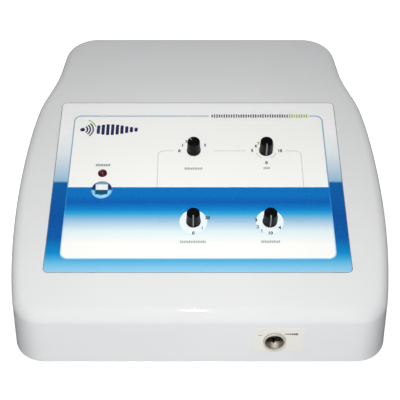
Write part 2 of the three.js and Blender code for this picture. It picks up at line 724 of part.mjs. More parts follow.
function outputLead() {
  unit.updateMatrixWorld(true);
  const start = frontFrame.localToWorld(new THREE.Vector3(0, 0, SOCKET_PIN_END - 4 * GAP));
  const route = new THREE.CatmullRomCurve3([
    start,
    new THREE.Vector3(start.x + 2, start.y + 14, start.z + 1),
    new THREE.Vector3(start.x + 16, start.y + 40, start.z + 4),
    new THREE.Vector3(start.x + 30, start.y + 68, start.z + 2),
    new THREE.Vector3(start.x + 32, start.y + 80, MAIN_BOARD.z + 5),
  ]);
  const section = new THREE.Shape();
  section.absarc(0, 0, 2.1, 0, 2 * Math.PI);
  return new THREE.ExtrudeGeometry(section, {
    steps: 16, curveSegments: 4, bevelEnabled: false, extrudePath: route,
  });
}

function buildInside() {
  const { x, y, w, l, z } = MAIN_BOARD;
  const top = z + BOARD_T + GAP;
  add(unit, 'main_board', block(w, l, BOARD_T, x, y, z), greenBoard());
  add(unit, 'heat_sink', heatSink().translate(x, y + 34, top), aluminium());
  add(unit, 'power_transistor', block(16, 5, 24, x + 20, y + 34 - 2.8, top), blackPlastic());
  const can = turned([[0, 0], [11, 0], [11, 33], [10.2, 34], [0, 34]], 16);
  add(unit, 'smoothing_capacitor', can.translate(x - 52, y + 16, top), blackPlastic());
  const coil = new THREE.TorusGeometry(11, 5, 8, 18).translate(x + 46, y - 14, top + 5.2);
  add(unit, 'output_coil', coil, copper());

  const board = block(CONTROL_BOARD.w, CONTROL_BOARD.l, BOARD_T, CONTROL_BOARD.x,
    CONTROL_BOARD.y, CONTROL_BOARD.z - BOARD_T);
  add(panelFrame, 'control_board', board, greenBoard());

  const coreZ = RIM_Z + BASE_T + GAP + CORE.h / 2;
  add(unit, 'transformer_core', transformerCore().translate(CORE.x, CORE.y, coreZ), lamination());
  add(unit, 'transformer_winding', transformerWinding().translate(CORE.x, CORE.y, coreZ), copper());
  add(unit, 'ribbon_cable', ribbonCable(), greyPlastic());
  add(unit, 'output_lead', outputLead(), blackPlastic());
}

// ---- assembly -----------------------------------------------------------------------------
function buildCabinet() {
  add(unit, 'top_shell', topShell(), whiteAbs());
  add(unit, 'base_plate', basePlate(), greyPlastic());
  for (const [place, [x, y]] of Object.entries(FOOT_PLACES)) {
    add(unit, `foot_${place}`, foot().translate(x, y, 0), rubber());
    add(unit, `case_screw_${place}`, caseScrew().translate(x, y, 0), steel());
  }
}

buildCabinet();
buildPanel();
buildSocket();
buildInlet();
buildInside();

// The fuse drawer's grip stands out behind the cabinet, so the unit is moved forward to keep the
// origin under the middle of its overall length.
const centred = new THREE.Group();
const extent = new THREE.Box3().setFromObject(unit, true);
centred.position.y = -(extent.min.y + extent.max.y) / 2;
centred.add(unit);

export default centred;
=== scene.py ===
"""Looks of a desktop ultrasound therapy unit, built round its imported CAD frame.

Shapes are written in millimetres in a local frame (the panel's, a wall's or the cabinet's) and are
placed in metres in the CAD frame when each piece is made.
"""

import json
import math

import bmesh
import bpy
from mathutils import Matrix, Vector
from mathutils.geometry import tessellate_polygon


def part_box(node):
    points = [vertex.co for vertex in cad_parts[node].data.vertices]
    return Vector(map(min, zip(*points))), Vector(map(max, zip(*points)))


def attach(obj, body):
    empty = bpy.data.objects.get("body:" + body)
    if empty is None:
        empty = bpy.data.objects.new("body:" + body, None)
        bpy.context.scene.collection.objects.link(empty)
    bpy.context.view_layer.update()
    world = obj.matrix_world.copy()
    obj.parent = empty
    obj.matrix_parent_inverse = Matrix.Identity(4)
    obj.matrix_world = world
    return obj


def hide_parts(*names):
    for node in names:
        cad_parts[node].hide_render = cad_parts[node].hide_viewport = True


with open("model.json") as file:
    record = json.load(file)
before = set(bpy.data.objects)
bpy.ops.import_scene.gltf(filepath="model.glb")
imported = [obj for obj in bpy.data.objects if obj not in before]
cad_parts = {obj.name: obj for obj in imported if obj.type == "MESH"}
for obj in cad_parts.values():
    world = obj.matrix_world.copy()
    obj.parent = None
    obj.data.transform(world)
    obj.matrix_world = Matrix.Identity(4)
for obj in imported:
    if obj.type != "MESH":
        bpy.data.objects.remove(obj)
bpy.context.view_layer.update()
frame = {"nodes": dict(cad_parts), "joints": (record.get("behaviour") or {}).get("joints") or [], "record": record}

MM = 0.001
X_AXIS = Vector((1, 0, 0))
CABINET = "cabinet"

# ---- frames ----
JOINTS = {j["name"]: j for j in frame["joints"]}
# Where each control's pointer rests: degrees anticlockwise from the right.
POINTER_ANGLES = {"mode": 135, "timer": -90, "pulse": -90, "intensity": -90}
OVERLAY_THICK = 0.6


def box_centre(node):
    low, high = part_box(node)
    return (Vector(low) + Vector(high)) / 2


def frame_matrix(origin, x_axis, y_axis, z_axis):
    turn = Matrix((x_axis, y_axis, z_axis)).transposed().to_4x4()
    return Matrix.Translation(origin) @ turn


PANEL_NORMAL = Vector(JOINTS["mode_turn"]["axis"]).normalized()
TILT = math.atan2(-PANEL_NORMAL.y, PANEL_NORMAL.z)
PANEL_CENTRE = box_centre("panel_overlay") + PANEL_NORMAL * OVERLAY_THICK / 2 * MM
PANEL = frame_matrix(PANEL_CENTRE, X_AXIS, PANEL_NORMAL.cross(X_AXIS), PANEL_NORMAL)
PANEL_W = 270
PANEL_L = 194
PANEL_CORNER_R = 4

REAR_NORMAL = Vector(JOINTS["fuse_drawer_slide"]["axis"]).normalized()
FRONT_NORMAL = Vector((0, -REAR_NORMAL.y, REAR_NORMAL.z))
DRAFT = math.asin(REAR_NORMAL.z)
INSERT_DEPTH = 10.5
SOCKET_CENTRE = box_centre("socket_insert") + FRONT_NORMAL * INSERT_DEPTH * MM
FRONT = frame_matrix(SOCKET_CENTRE, X_AXIS, FRONT_NORMAL.cross(X_AXIS), FRONT_NORMAL)
EARTH_PIN = (0, 8.5, -17.5)
REAR = frame_matrix(box_centre("inlet_pin_earth"), -X_AXIS, REAR_NORMAL.cross(-X_AXIS), REAR_NORMAL)
REAR = REAR @ Matrix.Translation(Vector(EARTH_PIN) * -MM)


def on_panel(point):
    """Place of a point in the panel frame, in mm, dropped on the panel's surface."""
    local = PANEL.inverted() @ Vector(point)
    return local.x / MM, local.y / MM


def panel_point(node):
    return on_panel(box_centre(node))


def control_place(name):
    return on_panel(JOINTS[name + "_turn"]["pos_m"])


def control_frame(name):
    seat = Vector(JOINTS[name + "_turn"]["pos_m"])
    turn = Matrix.Rotation(math.radians(POINTER_ANGLES[name]), 4, "Z")
    return frame_matrix(seat, X_AXIS, PANEL_NORMAL.cross(X_AXIS), PANEL_NORMAL) @ turn


# ---- camera, light and floor ----
VIEW_ELEVATION = math.radians(44)
VIEW_DISTANCE = 0.796
VIEW_AIM = (0.002, -0.017)
LENS = 76.5
SENSOR = 36
AMBIENT = 0.14
FLOOR_R = 3000
BEND_R = 2000
BACKDROP_TOP = 6000


def make_camera():
    """Camera that looks down at the panel from the front, as in the photograph."""
    forward = Vector((0, math.cos(VIEW_ELEVATION), -math.sin(VIEW_ELEVATION)))
    up = Vector((0, math.sin(VIEW_ELEVATION), math.cos(VIEW_ELEVATION)))
    data = bpy.data.cameras.new("camera")
    data.lens = LENS
    data.sensor_width = SENSOR
    camera = bpy.data.objects.new("camera", data)
    camera.location = PANEL_CENTRE - forward * VIEW_DISTANCE + X_AXIS * VIEW_AIM[0] + up * VIEW_AIM[1]
    camera.rotation_euler = (math.pi / 2 - VIEW_ELEVATION, 0, 0)
    bpy.context.collection.objects.link(camera)
    bpy.context.scene.camera = camera


def area_light(name, place, target, size, power, colour=(1, 1, 1), shows=False):
    """Disc light aimed at a target; only a light that shows is seen in glossy surfaces."""
    data = bpy.data.lights.new(name, "AREA")
    data.shape = "DISK"
    data.size = size
    data.energy = power
    data.color = colour
    light = bpy.data.objects.new(name, data)
    light.location = place
    light.visible_glossy = shows
    light.rotation_euler = (Vector(target) - Vector(place)).to_track_quat("-Z", "Y").to_euler()
    bpy.context.collection.objects.link(light)


def make_world():
    world = bpy.data.worlds.new("studio")
    world.use_nodes = True
    background = world.node_tree.nodes["Background"]
    background.inputs["Color"].default_value = (0.95, 0.97, 1.0, 1)
    background.inputs["Strength"].default_value = AMBIENT
    bpy.context.scene.world = world


def make_lights():
    """A small key over the panel, a bounce from under the floor, and dim fills at floor level."""
    top, middle, front = (0, 0, 0.06), (0, 0, 0.05), (0, -0.17, 0.04)
    area_light("key", (-0.01, -0.42, 0.66), top, 0.02, 4.1, (1.0, 0.99, 0.98), True)
    area_light("floor_bounce", (0, -0.75, -0.4), front, 0.6, 3.6)
    area_light("left_fill", (-1.5, -0.4, 0.5), top, 0.8, 0.7)
    area_light("rear_fill", (0.35, 1.6, 0.1), middle, 0.8, 18.0)
    area_light("right_fill", (1.4, 0.6, 0.05), middle, 0.6, 3.2)
    area_light("left_rear_fill", (-1.4, 0.6, 0.05), middle, 0.6, 3.6)


def make_floor():
    """Round floor that curves up into a wall far behind the unit, and glows faintly."""
    finish = bpy.data.materials.new("floor_white")
    finish.use_nodes = True
    shader = finish.node_tree.nodes["Principled BSDF"]
    shader.inputs["Base Color"].default_value = (0.9, 0.9, 0.9, 1)
    shader.inputs["Roughness"].default_value = 0.9
    shader.inputs["Emission Color"].default_value = (1, 1, 1, 1)
    shader.inputs["Emission Strength"].default_value = 0.95
    profile = [(0, 0)] + arc(FLOOR_R, BEND_R, BEND_R, -90, 0, 12) + [(FLOOR_R + BEND_R, BACKDROP_TOP)]
    floor = Solid().lathe(profile, 64).make("floor", None, Matrix.Identity(4), finish, None)
    floor.visible_diffuse = False
    floor.visible_glossy = False
    floor.visible_shadow = False


# ---- materials ----
def srgb(r, g, b):
    """Linear colour of an 8-bit display colour."""
    def linear(c):
        c /= 255
        return c / 12.92 if c <= 0.04045 else ((c + 0.055) / 1.055) ** 2.4
    return (linear(r), linear(g), linear(b), 1)


class Finish:
    """A Principled material whose colour, roughness and bump come from nodes."""

    def __init__(self, name, metallic=0.0, coat=0.0, specular=0.5, coat_rough=0.08):
        self.material = bpy.data.materials.new(name)
        self.material.use_nodes = True
        self.tree = self.material.node_tree
        self.shader = self.tree.nodes["Principled BSDF"]
        self.shader.inputs["Metallic"].default_value = metallic
        self.shader.inputs["Coat Weight"].default_value = coat
        self.shader.inputs["Coat Roughness"].default_value = coat_rough
        self.shader.inputs["Specular IOR Level"].default_value = specular
        self.place = self.node("ShaderNodeTexCoord").outputs["Object"]

    def node(self, kind, **settings):
        made = self.tree.nodes.new(kind)
        for key, value in settings.items():
            setattr(made, key, value)
        return made

    def link(self, source, target):
        self.tree.links.new(source, target)

    def noise(self, per_metre, detail=4.0, stretch=(1, 1, 1), seed=(0, 0, 0)):
        mapping = self.node("ShaderNodeMapping")
        mapping.inputs["Scale"].default_value = stretch
        mapping.inputs["Location"].default_value = seed
        self.link(self.place, mapping.inputs["Vector"])
        texture = self.node("ShaderNodeTexNoise")
        texture.inputs["Scale"].default_value = per_metre
        texture.inputs["Detail"].default_value = detail
        self.link(mapping.outputs["Vector"], texture.inputs["Vector"])
        return texture.outputs["Fac"]

    def vector(self, operation, source, value):
        made = self.node("ShaderNodeVectorMath", operation=operation)
        self.link(source, made.inputs[0])
        made.inputs[1].default_value = value
        return made.outputs["Vector"]

    def y_of(self, source):
        made = self.node("ShaderNodeSeparateXYZ")
        self.link(source, made.inputs["Vector"])
        return made.outputs["Y"]

    def spread(self, source, low, high, start=0.3, stop=0.7):
        """Maps start to stop of a signal on to the range low to high, and clamps the rest."""
        made = self.node("ShaderNodeMapRange")
        made.inputs["From Min"].default_value = start
        made.inputs["From Max"].default_value = stop
        made.inputs["To Min"].default_value = low
        made.inputs["To Max"].default_value = high
        self.link(source, made.inputs["Value"])
        return made.outputs["Result"]

    def ramp(self, source, stops):
        """Colour ramp from (position, colour) stops, in rising order."""
        made = self.node("ShaderNodeValToRGB")
        elements = made.color_ramp.elements
        while len(elements) < len(stops):
            elements.new(0.5)
        for element, (place, colour) in zip(elements, stops):
            element.position = place
            element.color = colour
        self.link(source, made.inputs["Fac"])
        return made.outputs["Color"]

    def blend(self, factor, first, second):
        """Colour mix: first and second are sockets or colours."""
        made = self.node("ShaderNodeMix", data_type="RGBA")
        self.link(factor, made.inputs["Factor"])
        for value, socket in ((first, made.inputs["A"]), (second, made.inputs["B"])):
            if isinstance(value, tuple):
                socket.default_value = value
            else:
                self.link(value, socket)
        return made.outputs["Result"]

    def colour(self, source):
        self.link(source, self.shader.inputs["Base Color"])

    def rough(self, source):
        self.link(source, self.shader.inputs["Roughness"])

    def bump(self, source, depth, strength=1.0):
        made = self.node("ShaderNodeBump")
        made.inputs["Strength"].default_value = strength
        made.inputs["Distance"].default_value = depth
        self.link(source, made.inputs["Height"])
        self.link(made.outputs["Normal"], self.shader.inputs["Normal"])


def scaled(colour, factor):
    """A colour made lighter or darker, fully opaque."""
    return tuple(c * factor for c in colour[:3]) + (1,)


def moulded(name, colour, rough=(0.25, 0.4), grain=1400, depth=0.00002, coat=0.0, vary=0.08,
            specular=0.5):
    """Moulded plastic: slight shade and gloss changes over a fine pebbled surface."""
    finish = Finish(name, coat=coat, specular=specular)
    broad = finish.noise(22, 3)
    finish.colour(finish.ramp(broad, [(0.3, scaled(colour, 1 - vary)), (0.7, scaled(colour, 1 + vary))]))
    finish.rough(finish.spread(finish.noise(180, 5), *rough))
    finish.bump(finish.noise(grain, 3), depth)
    return finish.material


def cabinet_white():
    """Glossy moulded casing: faint orange peel, a breath of dust and hair scuffs."""
    finish = Finish("cabinet_white", coat=0.4, specular=0.02, coat_rough=0.045)
    white = srgb(230, 231, 232)
    dusty = srgb(222, 222, 221)
    broad = finish.noise(9, 4)
    clean = finish.ramp(broad, [(0.35, scaled(white, 0.975)), (0.65, white)])
    specks = finish.spread(finish.noise(950, 2, seed=(3, 1, 2)), 0, 0.35, 0.66, 0.78)
    finish.colour(finish.blend(specks, clean, dusty))
    wipe = finish.noise(45, 5, stretch=(1, 1.5, 1.5), seed=(1, 4, 2))
    finish.rough(finish.spread(wipe, 0.46, 0.54))
    finish.bump(finish.noise(420, 2), 0.000012, 0.5)
    return finish.material


def metal(name, colour, rough=(0.15, 0.3), stretch=(1, 1, 12), metallic=1.0):
    """Turned or brushed metal: fine streaks in shade, gloss and height."""
    finish = Finish(name, metallic=metallic)
    brushed = finish.noise(500, 4, stretch)
    finish.colour(finish.ramp(brushed, [(0.3, scaled(colour, 0.85)), (0.7, colour)]))
    finish.rough(finish.spread(brushed, *rough))
    finish.bump(brushed, 0.000008)
    return finish.material


def printed(name, rows):
    """Printed polyester film with a fine velvet texture; its colour changes down the panel, as
    given by (fraction from the top, display colour) rows."""
    finish = Finish(name, specular=0.06)
    up = finish.y_of(finish.node("ShaderNodeUVMap").outputs["UV"])
    colour = finish.ramp(up, [(1 - place, srgb(*shade)) for place, shade in rows[::-1]])
    mottled = finish.spread(finish.noise(700, 3), 0, 0.012)
    finish.colour(finish.blend(mottled, colour, (1, 1, 1, 1)))
    finish.rough(finish.spread(finish.noise(90, 4), 0.3, 0.4))
    finish.bump(finish.noise(2600, 2), 0.000006)
    return finish.material


def ink(name, shade):
    """One printed ink of a display colour, slightly uneven in shade and gloss."""
    finish = Finish(name)
    colour = srgb(*shade)
    worn = finish.noise(900, 4)
    finish.colour(finish.ramp(worn, [(0.3, colour), (0.75, scaled(colour, 1.25))]))
    finish.rough(finish.spread(worn, 0.34, 0.46))
    return finish.material


def lens_red():
    """Dark red clear lens of an unlit lamp."""
    finish = Finish("lens_red", coat=0.6)
    swirl = finish.noise(700, 3)
    finish.colour(finish.ramp(swirl, [(0.3, (0.07, 0.003, 0.007, 1)), (0.7, (0.13, 0.005, 0.012, 1))]))
    finish.rough(finish.spread(swirl, 0.1, 0.16))
    return finish.material


# Where the painted reflection on the switch housing sits: raised from the switch's centre and squeezed across it.
PAINTED_REFLECTION_RAISE = 3.2
PAINTED_REFLECTION_SQUEEZE = 1.45


def switch_blue():
    """Glossy blue moulding: navy beside the rocker, with a painted reflection as a pale crescent below it and a
    painted highlight above it.
    """
    finish = Finish("switch_blue", coat=0.5)
    x, y = panel_point("switch_housing")
    uv = finish.node("ShaderNodeUVMap").outputs["UV"]
    centred = finish.vector("SUBTRACT", uv, (x / PANEL_W + 0.5, y / PANEL_L + 0.5, 0))
    in_mm = finish.vector("MULTIPLY", centred, (PANEL_W, PANEL_L, 0))
    raised = finish.vector("SUBTRACT", in_mm, (0, PAINTED_REFLECTION_RAISE, 0))
    reach = finish.node("ShaderNodeVectorMath", operation="LENGTH")
    finish.link(finish.vector("MULTIPLY", raised, (PAINTED_REFLECTION_SQUEEZE, 1, 0)), reach.inputs[0])
    out = finish.spread(reach.outputs["Value"], 0, 1, 5, 13)
    dark = srgb(4, 54, 112)
    # Painted reflection: the navy turns pale cyan towards the housing's rim, below the rocker.
    painted_reflection_ring = finish.ramp(out, [(0.6, dark), (0.7, srgb(110, 200, 243)), (0.85, srgb(150, 225, 255))])
    low = finish.spread(finish.y_of(in_mm), 0, 1, -0.6, -2.4)
    # Painted highlight: the housing turns pale above the rocker's top edge.
    high = finish.spread(finish.y_of(in_mm), 0, 1, 5.0, 7.0)
    shade = finish.blend(high, finish.blend(low, dark, painted_reflection_ring), srgb(150, 172, 205))
    haze = finish.spread(finish.noise(300, 3), 0, 0.06)
    finish.colour(finish.blend(haze, shade, srgb(90, 130, 170)))
    finish.rough(finish.spread(finish.noise(180, 4), 0.12, 0.2))
    finish.bump(finish.noise(1400, 2), 0.00001)
    return finish.material


# ---- mesh making ----
class Solid:
    """Vertices and faces gathered in millimetres, then made into one piece."""

    def __init__(self):
        self.verts = []
        self.faces = []

    def add(self, verts, faces):
        start = len(self.verts)
        self.verts += [tuple(v) for v in verts]
        self.faces += [tuple(start + i for i in face) for face in faces]
        return self

    def prism(self, loops, z0, z1):
        """Straight-sided solid over an outline and its holes, each a list of (x, y)."""
        flat = [[Vector((x, y, 0)) for x, y in loop] for loop in loops]
        count = sum(len(loop) for loop in loops)
        verts = [(v.x, v.y, z) for z in (z0, z1) for loop in flat for v in loop]
        faces = []
        for a, b, c in tessellate_polygon(flat):
            faces += [(a, b, c), (count + c, count + b, count + a)]
        start = 0
        for loop in loops:
            n = len(loop)
            for i in range(n):
                a, b = start + i, start + (i + 1) % n
                faces.append((a, b, count + b, count + a))
            start += n
        return self.add(verts, faces)

    def lathe(self, profile, sides, centre=(0, 0), closed=False, radius=None):
        """Turned solid about z from (r, z) pairs; radius(r, z, angle) can shape each ring."""
        rows = []
        verts = []
        for r, z in profile:
            if r <= 1e-6:
                rows.append([len(verts)] * sides)
                verts.append((centre[0], centre[1], z))
                continue
            rows.append(list(range(len(verts), len(verts) + sides)))
            for i in range(sides):
                angle = 2 * math.pi * i / sides
                shaped = radius(r, z, angle) if radius else r
                verts.append((centre[0] + shaped * math.cos(angle),
                              centre[1] + shaped * math.sin(angle), z))
        faces = []
        last = len(rows) if closed else len(rows) - 1
        for k in range(last):
            low, high = rows[k], rows[(k + 1) % len(rows)]
            for i in range(sides):
                j = (i + 1) % sides
                corners = [low[i], low[j], high[j], high[i]]
                kept = [c for n, c in enumerate(corners) if c not in corners[:n]]
                if len(kept) > 2:
                    faces.append(tuple(kept))
        return self.add(verts, faces)

    def make(self, name, body, matrix, finish, slot, smooth=35, uv=None):
        """Makes the object, riding on a CAD body if one is given; uv is what its UV map spans."""
        mesh = bpy.data.meshes.new(name)
        mesh.from_pydata([matrix @ (Vector(v) * MM) for v in self.verts], [], self.faces)
        if uv:
            layer = mesh.uv_layers.new(name="UVMap")
            for loop in mesh.loops:
                x, y, _ = self.verts[loop.vertex_index]
                layer.data[loop.index].uv = (x / uv[0] + 0.5, y / uv[1] + 0.5)
        face_outwards(mesh)
        smooth_by_angle(mesh, smooth)
        mesh.materials.append(finish)
        piece = bpy.data.objects.new(name, mesh)
        bpy.context.collection.objects.link(piece)
        if body:
            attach(piece, body)
        return piece

    def cutter(self, matrix):
        """Makes a helper that cut() takes away from a piece, and then drops."""
        return self.make("cutter", None, matrix, None, None)


def face_outwards(mesh):
    work = bmesh.new()
    work.from_mesh(mesh)
    bmesh.ops.recalc_face_normals(work, faces=work.faces)
    work.to_mesh(mesh)
    work.free()


def smooth_by_angle(mesh, degrees):
    mesh.shade_smooth()
    mesh.set_sharp_from_angle(angle=math.radians(degrees))


def cut(piece, cutters, smooth):
    """Cuts the cutters out of a piece, drops them, and smooths what is left by angle."""
    for cutter in cutters:
        modifier = piece.modifiers.new("cut", "BOOLEAN")
        modifier.operation = "DIFFERENCE"
        modifier.solver = "EXACT"
        modifier.object = cutter
        bpy.context.view_layer.objects.active = piece
        bpy.ops.object.modifier_apply(modifier=modifier.name)
        bpy.data.objects.remove(cutter)
    smooth_by_angle(piece.data, smooth)


SOFT_ANGLE = 40


def soften(piece, width, segments=2):
    """Rounds a piece's hard edges by a width in mm."""
    modifier = piece.modifiers.new("soft_edges", "BEVEL")
    modifier.width = width * MM
    modifier.segments = segments
    modifier.limit_method = "ANGLE"
    modifier.angle_limit = math.radians(SOFT_ANGLE)


# ---- outlines ----
def arc(x, y, r, start, stop, steps):
    """Points of an arc; angles in degrees."""
    points = []
    for i in range(steps + 1):
        angle = math.radians(start + (stop - start) * i / steps)
        points.append((x + r * math.cos(angle), y + r * math.sin(angle)))
    return points


def circle(x, y, r, sides=48):
    return arc(x, y, r, 0, 360, sides)[:-1]


def rounded(x0, y0, x1, y1, r, steps=8):
    """Rounded rectangle between two corners."""
    corners = ((x1 - r, y1 - r, 0), (x0 + r, y1 - r, 90), (x0 + r, y0 + r, 180), (x1 - r, y0 + r, 270))
    return [point for x, y, start in corners for point in arc(x, y, r, start, start + 90, steps)]


def stroke(points, width, closed=False):
    """Loops of a line with a width and mitred corners: one outline, or an outline and a hole."""
    half = width / 2
    sides = ([], [])
    n = len(points)
    for i, (x, y) in enumerate(points):
        before = points[i - 1] if closed or i > 0 else points[i]
        after = points[(i + 1) % n] if closed or i < n - 1 else points[i]
        normals = []
        for a, b in ((before, (x, y)), ((x, y), after)):
            dx, dy = b[0] - a[0], b[1] - a[1]
            length = math.hypot(dx, dy)
            if length > 1e-9:
                normals.append((-dy / length, dx / length))
        nx = sum(v[0] for v in normals) / len(normals)
        ny = sum(v[1] for v in normals) / len(normals)
        grow = max(nx * nx + ny * ny, 0.3)
        nx, ny = nx / grow, ny / grow
        sides[0].append((x + nx * half, y + ny * half))
        sides[1].append((x - nx * half, y - ny * half))
    left, right = sides
    return [left, right] if closed else [left + right[::-1]]


# ---- cabinet ----
CAB_LOW, CAB_HIGH = (Vector(v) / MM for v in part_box("top_shell"))
Y_FRONT = CAB_LOW.y
RIM_Z = CAB_LOW.z
DEPTH = CAB_HIGH.y - CAB_LOW.y
WALL = 3
FRONT_HALF = 167
FRONT_CORNER_R = 29
FRONT_LEAN = math.radians(11.8)
FLARE_HANDLE = 35.4
WIDEST_HALF = CAB_HIGH.x
WIDEST_Y = Y_FRONT + 134.3
WAIST_HANDLE = 30.4
NECK_HALF = 168.8
NECK_Y = Y_FRONT + 234.7
FLANK_HALF = 152.8
FLANK_Y = Y_FRONT + 291.4
FLANK_LEAN = math.radians(6.5)
REAR_CORNER_R = 42
SHOULDER_R = 11
DECK_START_Y = Y_FRONT + 238.4
DECK_R = 558
NECK_HANDLE = (6, -30)
NECK_LEAVE = (-3.6, 18)
TAIL_HANDLE = (2.1, -23)
TOP_MIDDLE = 0.48
LIP = 0.5
RECESS = 0.9
EDGE_GAP = 0.6
LAMP_HOLE_R = 3.45
SWITCH_HOLE_R = 9.0
SOCKET_HOLE_R = 9.2
INLET_HALF = (13.8, 18.8)


# The outline's stretches below are lists of (point, unit tangent) without their last point.
def bezier(a, b, c, d, steps):
    """Cubic curve from a to d, pulled towards b and c."""
    rows = []
    for i in range(steps):
        t = i / steps
        s = 1 - t
        point = a * s ** 3 + b * 3 * s * s * t + c * 3 * s * t * t + d * t ** 3
        slope = (b - a) * 3 * s * s + (c - b) * 6 * s * t + (d - c) * 3 * t * t
        rows.append((point, slope.normalized()))
    return rows


def straight(a, b, steps):
    return [(a.lerp(b, i / steps), (b - a).normalized()) for i in range(steps)]


def corner(x, y, r, start, stop, steps):
    rows = []
    for i in range(steps):
        angle = start + (stop - start) * i / steps
        out = Vector((math.cos(angle), math.sin(angle)))
        rows.append((Vector((x, y)) + out * r, Vector((-out.y, out.x))))
    return rows


def cabinet_outline():
    """Plan of the rim, counter-clockwise: each entry is a point and its outward normal."""
    y_rear = Y_FRONT + DEPTH
    corner_x = FRONT_HALF - FRONT_CORNER_R
    corner_y = Y_FRONT + FRONT_CORNER_R
    flank = Vector((corner_x + FRONT_CORNER_R * math.cos(FRONT_LEAN),
                    corner_y - FRONT_CORNER_R * math.sin(FRONT_LEAN)))
    rear_y = y_rear - REAR_CORNER_R
    tail_y = rear_y + REAR_CORNER_R * math.sin(FLANK_LEAN)
    tail_x = FLANK_HALF - (tail_y - FLANK_Y) * math.tan(FLANK_LEAN)
    rear_x = tail_x - REAR_CORNER_R * math.cos(FLANK_LEAN)
    widest = Vector((WIDEST_HALF, WIDEST_Y))
    neck = Vector((NECK_HALF, NECK_Y))
    tail = Vector((FLANK_HALF, FLANK_Y))
    half = straight(Vector((0, Y_FRONT)), Vector((corner_x, Y_FRONT)), 16)
    half += corner(corner_x, corner_y, FRONT_CORNER_R, -math.pi / 2, -FRONT_LEAN, 18)
    flare = Vector((FLARE_HANDLE * math.tan(FRONT_LEAN), FLARE_HANDLE))
    half += bezier(flank, flank + flare, widest - Vector((0, FLARE_HANDLE)), widest, 18)
    half += bezier(widest, widest + Vector((0, WAIST_HANDLE)), neck + Vector(NECK_HANDLE), neck, 18)
    half += bezier(neck, neck + Vector(NECK_LEAVE), tail + Vector(TAIL_HANDLE), tail, 20)
    half += straight(tail, Vector((tail_x, tail_y)), 4)
    half += corner(rear_x, rear_y, REAR_CORNER_R, FLANK_LEAN, math.pi / 2, 22)
    half += straight(Vector((rear_x, y_rear)), Vector((0, y_rear)), 14)
    right = [(p, Vector((t.y, -t.x))) for p, t in half]
    mirror = [(Vector((-p.x, p.y)), Vector((-n.x, n.y))) for p, n in right[:0:-1]]
    return right + [(Vector((0, y_rear)), Vector((0, 1)))] + mirror


def top_height(y):
    """Height of the top face: flat under the panel, then levelling out towards the rear."""
    centre = PANEL_CENTRE / MM
    plane = centre.z + (min(y, DECK_START_Y) - centre.y) * math.tan(TILT)
    if y <= DECK_START_Y:
        return plane
    arc_y = DECK_START_Y + DECK_R * math.sin(TILT)
    return plane - DECK_R * math.cos(TILT) + math.sqrt(DECK_R ** 2 - (arc_y - y) ** 2)


def wall_offset(z):
    """How far the draft has brought the wall in at a height."""
    return (z - RIM_Z) * math.tan(DRAFT)


def skin_rings(outline, inset, drop, low_z, shoulder, wall_steps, shoulder_steps, cap_steps):
    """Rings of points up the drafted wall, over the shoulder and inwards over the top."""
    centre_y = Y_FRONT + DEPTH * TOP_MIDDLE
    rings = []

    def wall_top(y):
        return top_height(y) - drop - shoulder

    for k in range(wall_steps):
        ring = []
        for p, n in outline:
            z = low_z + (wall_top(p.y) - low_z) * k / wall_steps
            q = p - n * (inset + wall_offset(z))
            ring.append((q.x, q.y, z))
        rings.append(ring)
    for k in range(shoulder_steps + 1):
        angle = math.pi / 2 * k / shoulder_steps
        ring = []
        for p, n in outline:
            q = p - n * (inset + wall_offset(wall_top(p.y)) + shoulder * (1 - math.cos(angle)))
            ring.append((q.x, q.y, top_height(q.y) - drop - shoulder * (1 - math.sin(angle))))
        rings.append(ring)
    edge = rings[-1]
    for k in range(1, cap_steps):
        t = 1 - k / cap_steps
        ring = []
        for x, y, _ in edge:
            inner_y = centre_y + t * (y - centre_y)
            ring.append((x * t, inner_y, top_height(inner_y) - drop))
        rings.append(ring)
    return rings


def cabinet_solid():
    """Hollow shell: the inner skin from the top down, the rim, then the outer skin upwards."""
    outline = cabinet_outline()
    outer = skin_rings(outline, 0, 0, RIM_Z + LIP, SHOULDER_R, 8, 14, 26)
    inner = skin_rings(outline, WALL, WALL, RIM_Z + LIP, SHOULDER_R - WALL, 3, 4, 8)
    rim = []
    for inset in (WALL - LIP, LIP):
        rim.append([(p.x - n.x * inset, p.y - n.y * inset, RIM_Z) for p, n in outline])
    rings = inner[::-1] + rim + outer
    n = len(outline)
    faces = [tuple(range(n))[::-1]]
    for k in range(len(rings) - 1):
        a, b = k * n, (k + 1) * n
        faces += [(a + i, a + (i + 1) % n, b + (i + 1) % n, b + i) for i in range(n)]
    last = (len(rings) - 1) * n
    faces.append(tuple(last + i for i in range(n)))
    return Solid().add([p for ring in rings for p in ring], faces)


def make_cabinet(finish):
    piece = cabinet_solid().make("cabinet_shell", CABINET, Matrix.Identity(4), finish, "cabinet_white")
    cut(piece, cabinet_cutters(), 32)
    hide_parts("top_shell")


def panel_outline(grow=0.0):
    """Outline of the panel sheet, or of one larger all round."""
    w, l = PANEL_W / 2 + grow, PANEL_L / 2 + grow
    return rounded(-w, -l, w, l, PANEL_CORNER_R + grow)


def cabinet_cutters():
    """The panel's recess and the holes of the lamp, switch, socket and inlet."""
    w, h = INLET_HALF
    inlet = [(w, h), (-w, h), (-w, -h), (w, -h)]
    cuts = (
        (panel_outline(EDGE_GAP), -RECESS, 4, PANEL),
        (circle(*panel_point("lamp"), LAMP_HOLE_R), -10, 5, PANEL),
        (circle(*panel_point("switch_housing"), SWITCH_HOLE_R), -10, 5, PANEL),
        (circle(0, 0, SOCKET_HOLE_R, 64), -8, 8, FRONT),
        (inlet, -8, 8, REAR),
    )
    return [Solid().prism([loop], low, high).cutter(place) for loop, low, high, place in cuts]


